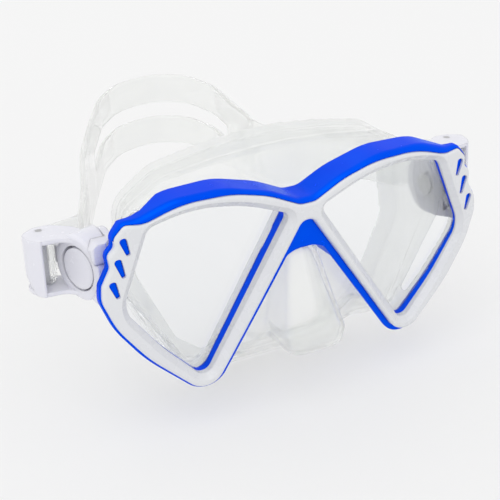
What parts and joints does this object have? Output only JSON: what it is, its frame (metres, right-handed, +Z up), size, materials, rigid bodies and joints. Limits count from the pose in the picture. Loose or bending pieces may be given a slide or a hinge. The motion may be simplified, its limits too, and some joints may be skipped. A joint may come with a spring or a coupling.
{
  "type": "diving mask",
  "caption": "Junior diving mask with twin lenses, a two-colour hard frame, a clear silicone skirt with nose pocket, and a split head strap on swivelling push-button buckles.",
  "frame": {"origin": "centre of the skirt's face seal, in the plane of its rear rim", "axes": "+Z up as worn, -Y the way the wearer looks, +X towards the wearer's left"},
  "size_m": [0.186, 0.181, 0.0956],
  "materials": {
    "frame_plastic": "royal blue, semi-gloss",
    "bezel_plastic": "white, gloss",
    "buckle_plastic": "white, gloss",
    "lens_glass": "clear tempered",
    "clear_silicone": "clear, glossy silicone",
    "steel": "stainless",
    "roller_plastic": "white, satin"
  },
  "bodies": {
    "mask": {"frame": "frame_plastic", "bezel": "bezel_plastic", "lens_left": "lens_glass", "lens_right": "lens_glass", "skirt": "clear_silicone", "buckle_base_left": "buckle_plastic", "buckle_base_right": "buckle_plastic", "swivel_pin_left": "steel", "swivel_pin_right": "steel"},
    "headband": {"strap": "clear_silicone", "buckle_housing_left": "buckle_plastic", "buckle_housing_right": "buckle_plastic", "button_pin_left": "steel", "button_pin_right": "steel", "button_spring_left": "steel", "button_spring_right": "steel", "roller_pin_left": "steel", "roller_pin_right": "steel"},
    "button_left": {"release_button_left": "buckle_plastic"},
    "roller_left": {"strap_roller_left": "roller_plastic"},
    "button_right": {"release_button_right": "buckle_plastic"},
    "roller_right": {"strap_roller_right": "roller_plastic"}
  },
  "joints": [
    {"name": "strap_swing", "type": "hinge", "parent": "mask", "child": "headband", "pos_m": [0, -0.013, 0.0147], "axis": [1, 0, 0], "range_deg": [-20, 30]},
    {"name": "button_press_left", "type": "hinge", "parent": "headband", "child": "button_left", "pos_m": [-0.07521, -0.02078, 0.0147], "axis": [0, 0, -1], "range_deg": [0, 4], "stiffness_Nm_per_rad": 0.5, "springref_deg": -1.72, "deforming": ["button_spring_left"]},
    {"name": "button_press_right", "type": "hinge", "parent": "headband", "child": "button_right", "pos_m": [0.07521, -0.02078, 0.0147], "axis": [0, 0, 1], "range_deg": [0, 4], "stiffness_Nm_per_rad": 0.5, "springref_deg": -1.72, "deforming": ["button_spring_right"]},
    {"name": "roller_spin_left", "type": "hinge", "parent": "headband", "child": "roller_left", "pos_m": [-0.0865, 0.00086, 0.0147], "axis": [0, 0, 1], "continuous": true},
    {"name": "roller_spin_right", "type": "hinge", "parent": "headband", "child": "roller_right", "pos_m": [0.0865, 0.00086, 0.0147], "axis": [0, 0, 1], "continuous": true}
  ]
}
